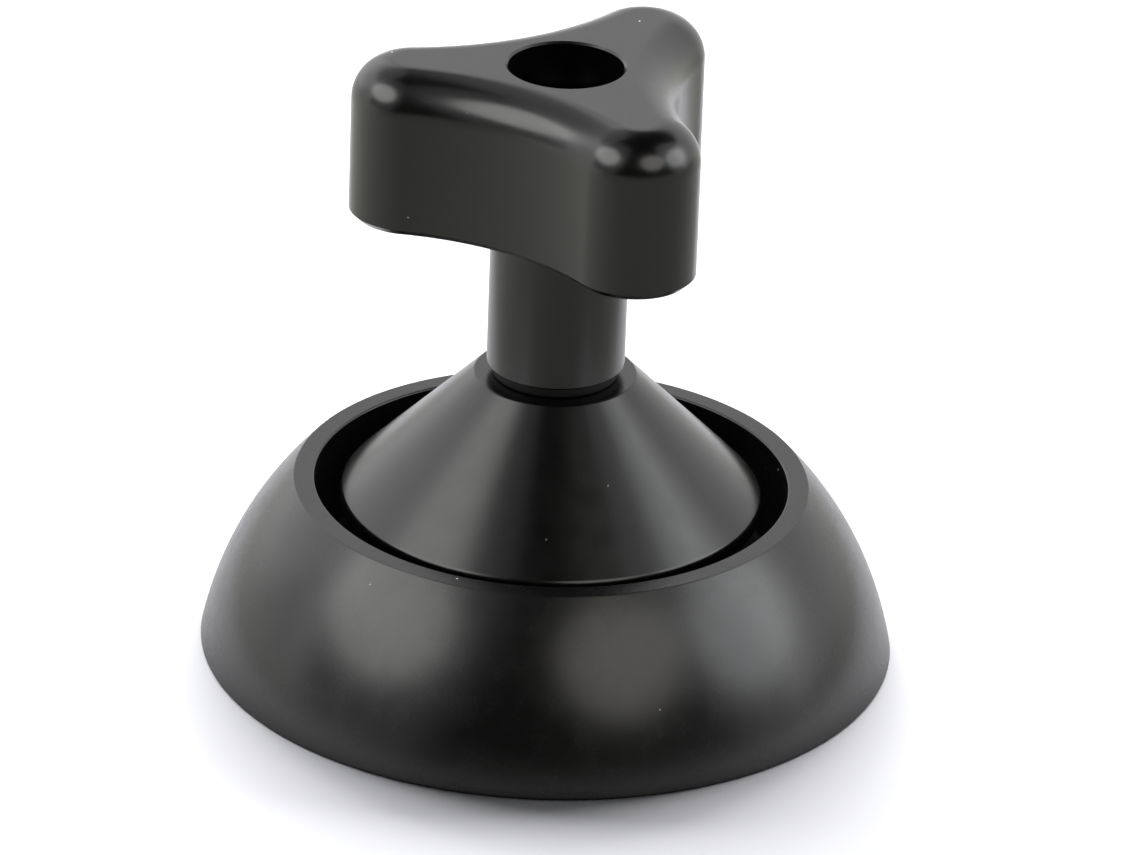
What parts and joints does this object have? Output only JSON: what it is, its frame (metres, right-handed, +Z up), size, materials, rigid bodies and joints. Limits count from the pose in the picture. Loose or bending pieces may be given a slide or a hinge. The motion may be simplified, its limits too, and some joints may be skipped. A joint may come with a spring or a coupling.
{
  "type": "tripod bowl adapter",
  "caption": "Half ball that seats a flat-based camera head in a tripod bowl, with a hollow clamp cup drawn up by a three-lobed screw handle.",
  "frame": {"origin": "centre of the flat mounting face, on which the adapter stands upside down as pictured", "axes": "+Z up the tie-down stud towards the handle, -Z out of the thread for the head, -X towards one lobe of the knob at rest"},
  "size_m": [0.0979, 0.098, 0.0886],
  "materials": {
    "black_anodised_ball": "black anodised over a fine bead-blasted and turned surface, satin",
    "black_anodised_cup": "black anodised over a fine turned surface, satin",
    "black_anodised_handle": "black anodised over a milled and tumbled surface, smooth satin",
    "stainless_steel": "turned stainless steel",
    "zinc_plated_steel": "bright zinc plating",
    "black_oxide_steel": "black oxide, lightly oiled",
    "black_nylon": "smooth moulded nylon, matt",
    "sintered_bronze": "oil-filled sintered bronze, dull"
  },
  "bodies": {
    "ball": {"half_ball": "black_anodised_ball", "head_thread_insert": "stainless_steel", "anti_twist_screws": "black_oxide_steel", "tie_down_stud": "zinc_plated_steel", "stud_washer": "zinc_plated_steel", "stud_jam_nut": "zinc_plated_steel", "stop_washer": "zinc_plated_steel", "stop_screw": "black_oxide_steel"},
    "carriage": {"thrust_washer": "black_nylon"},
    "cup": {"clamp_cup": "black_anodised_cup", "cup_bush": "sintered_bronze"},
    "handle": {"handle_stem": "black_anodised_handle", "handle_thread_insert": "stainless_steel", "knob": "black_anodised_handle"}
  },
  "joints": [
    {"name": "clamp_travel", "type": "slide", "parent": "ball", "child": "carriage", "axis": [0, 0, 1], "range_m": [0, 0.02275]},
    {"name": "handle_turn", "type": "hinge", "parent": "carriage", "child": "handle", "pos_m": [0, 0, 0.0435], "axis": [0, 0, 1], "range_deg": [0, 4680]},
    {"name": "cup_spin", "type": "hinge", "parent": "carriage", "child": "cup", "pos_m": [0, 0, 0.0419], "axis": [0, 0, 1], "continuous": true}
  ],
  "couplings": [
    {"joint": "clamp_travel", "follows": "handle_turn", "m_per_rad": 0.00027852}
  ]
}
